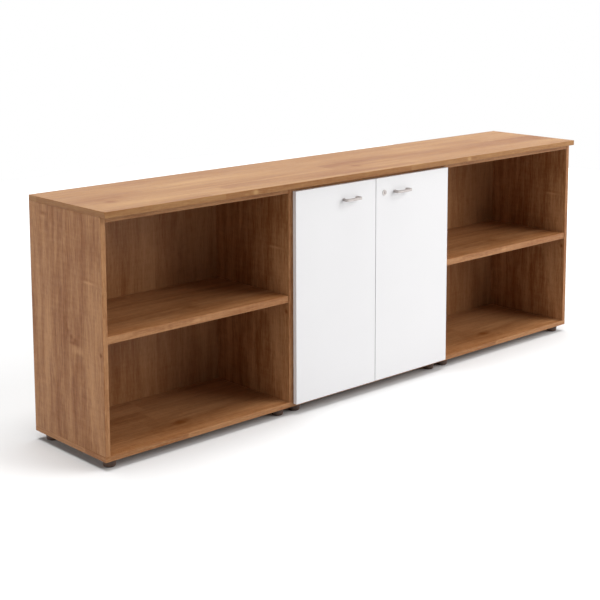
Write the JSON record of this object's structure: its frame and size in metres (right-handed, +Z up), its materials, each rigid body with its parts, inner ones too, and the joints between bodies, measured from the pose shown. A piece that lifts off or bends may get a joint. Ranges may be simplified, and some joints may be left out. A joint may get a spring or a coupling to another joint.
{
  "type": "office credenza",
  "caption": "Low office credenza with open shelf bays beside a cupboard with hinged doors, bow handles and a cam lock, under one long wood-grain top on levelling feet.",
  "frame": {"origin": "on the floor, under the middle of the outer box", "axes": "+X along the front to the right as seen from the front, +Y to the back, +Z up"},
  "size_m": [2.4, 0.4586, 0.84],
  "materials": {
    "walnut_board": "walnut-grain faced board, satin",
    "white_board": "white faced board, satin",
    "satin_nickel": "satin nickel plate",
    "plated_steel": "bright nickel-plated pressed steel",
    "dark_plastic": "moulded dark brown plastic, matt"
  },
  "bodies": {
    "carcase": {"top_board": "walnut_board", "left_base_panel": "walnut_board", "left_side_left": "walnut_board", "left_side_right": "walnut_board", "left_top_panel": "walnut_board", "left_back_panel": "walnut_board", "left_shelf": "walnut_board", "middle_base_panel": "walnut_board", "middle_side_left": "walnut_board", "middle_side_right": "walnut_board", "middle_top_panel": "walnut_board", "middle_back_panel": "walnut_board", "middle_shelf": "walnut_board", "right_base_panel": "walnut_board", "right_side_left": "walnut_board", "right_side_right": "walnut_board", "right_top_panel": "walnut_board", "right_back_panel": "walnut_board", "right_shelf": "walnut_board", "hinge_arm_left_lower": "plated_steel", "hinge_arm_left_upper": "plated_steel", "hinge_arm_right_lower": "plated_steel", "hinge_arm_right_upper": "plated_steel", "hinge_plate_left_lower": "plated_steel", "hinge_plate_left_upper": "plated_steel", "hinge_plate_right_lower": "plated_steel", "hinge_plate_right_upper": "plated_steel", "lock_strike": "plated_steel"},
    "left_door_links": {"hinge_link_left_lower": "plated_steel", "hinge_link_left_upper": "plated_steel"},
    "left_door": {"door_left": "white_board", "handle_left": "satin_nickel", "hinge_cup_left_lower": "plated_steel", "hinge_cup_left_upper": "plated_steel"},
    "right_door_links": {"hinge_link_right_lower": "plated_steel", "hinge_link_right_upper": "plated_steel"},
    "right_door": {"door_right": "white_board", "handle_right": "satin_nickel", "hinge_cup_right_lower": "plated_steel", "hinge_cup_right_upper": "plated_steel", "lock_housing": "satin_nickel", "lock_nut": "plated_steel"},
    "lock_core": {"lock_plug": "satin_nickel", "lock_cam": "plated_steel", "lock_cam_screw": "plated_steel"},
    "left_foot_fl": {"left_foot_front_left": "dark_plastic"},
    "left_foot_fr": {"left_foot_front_right": "dark_plastic"},
    "left_foot_bl": {"left_foot_back_left": "dark_plastic"},
    "left_foot_br": {"left_foot_back_right": "dark_plastic"},
    "middle_foot_fl": {"middle_foot_front_left": "dark_plastic"},
    "middle_foot_fr": {"middle_foot_front_right": "dark_plastic"},
    "middle_foot_bl": {"middle_foot_back_left": "dark_plastic"},
    "middle_foot_br": {"middle_foot_back_right": "dark_plastic"},
    "right_foot_fl": {"right_foot_front_left": "dark_plastic"},
    "right_foot_fr": {"right_foot_front_right": "dark_plastic"},
    "right_foot_bl": {"right_foot_back_left": "dark_plastic"},
    "right_foot_br": {"right_foot_back_right": "dark_plastic"}
  },
  "joints": [
    {"name": "left_link_pivot", "type": "hinge", "parent": "carcase", "child": "left_door_links", "pos_m": [-0.364, -0.1817, 0.424], "axis": [0, 0, 1], "range_deg": [0, 52]},
    {"name": "left_door_swing", "type": "hinge", "parent": "left_door_links", "child": "left_door", "pos_m": [-0.3891, -0.19, 0.424], "axis": [0, 0, -1], "range_deg": [0, 162]},
    {"name": "right_link_pivot", "type": "hinge", "parent": "carcase", "child": "right_door_links", "pos_m": [0.364, -0.1817, 0.424], "axis": [0, 0, -1], "range_deg": [0, 52]},
    {"name": "right_door_swing", "type": "hinge", "parent": "right_door_links", "child": "right_door", "pos_m": [0.3891, -0.19, 0.424], "axis": [0, 0, 1], "range_deg": [0, 162]},
    {"name": "lock_turn", "type": "hinge", "parent": "right_door", "child": "lock_core", "pos_m": [0.0445, -0.2027, 0.751], "axis": [0, -1, 0], "range_deg": [0, 90]},
    {"name": "left_foot_fl_level", "type": "slide", "parent": "carcase", "child": "left_foot_fl", "axis": [0, 0, -1], "range_m": [0, 0.01]},
    {"name": "left_foot_fr_level", "type": "slide", "parent": "carcase", "child": "left_foot_fr", "axis": [0, 0, -1], "range_m": [0, 0.01]},
    {"name": "left_foot_bl_level", "type": "slide", "parent": "carcase", "child": "left_foot_bl", "axis": [0, 0, -1], "range_m": [0, 0.01]},
    {"name": "left_foot_br_level", "type": "slide", "parent": "carcase", "child": "left_foot_br", "axis": [0, 0, -1], "range_m": [0, 0.01]},
    {"name": "middle_foot_fl_level", "type": "slide", "parent": "carcase", "child": "middle_foot_fl", "axis": [0, 0, -1], "range_m": [0, 0.01]},
    {"name": "middle_foot_fr_level", "type": "slide", "parent": "carcase", "child": "middle_foot_fr", "axis": [0, 0, -1], "range_m": [0, 0.01]},
    {"name": "middle_foot_bl_level", "type": "slide", "parent": "carcase", "child": "middle_foot_bl", "axis": [0, 0, -1], "range_m": [0, 0.01]},
    {"name": "middle_foot_br_level", "type": "slide", "parent": "carcase", "child": "middle_foot_br", "axis": [0, 0, -1], "range_m": [0, 0.01]},
    {"name": "right_foot_fl_level", "type": "slide", "parent": "carcase", "child": "right_foot_fl", "axis": [0, 0, -1], "range_m": [0, 0.01]},
    {"name": "right_foot_fr_level", "type": "slide", "parent": "carcase", "child": "right_foot_fr", "axis": [0, 0, -1], "range_m": [0, 0.01]},
    {"name": "right_foot_bl_level", "type": "slide", "parent": "carcase", "child": "right_foot_bl", "axis": [0, 0, -1], "range_m": [0, 0.01]},
    {"name": "right_foot_br_level", "type": "slide", "parent": "carcase", "child": "right_foot_br", "axis": [0, 0, -1], "range_m": [0, 0.01]}
  ],
  "couplings": [
    {"joint": "left_link_pivot", "follows": "left_door_swing", "ratio": 0.32099},
    {"joint": "right_link_pivot", "follows": "right_door_swing", "ratio": 0.32099}
  ]
}
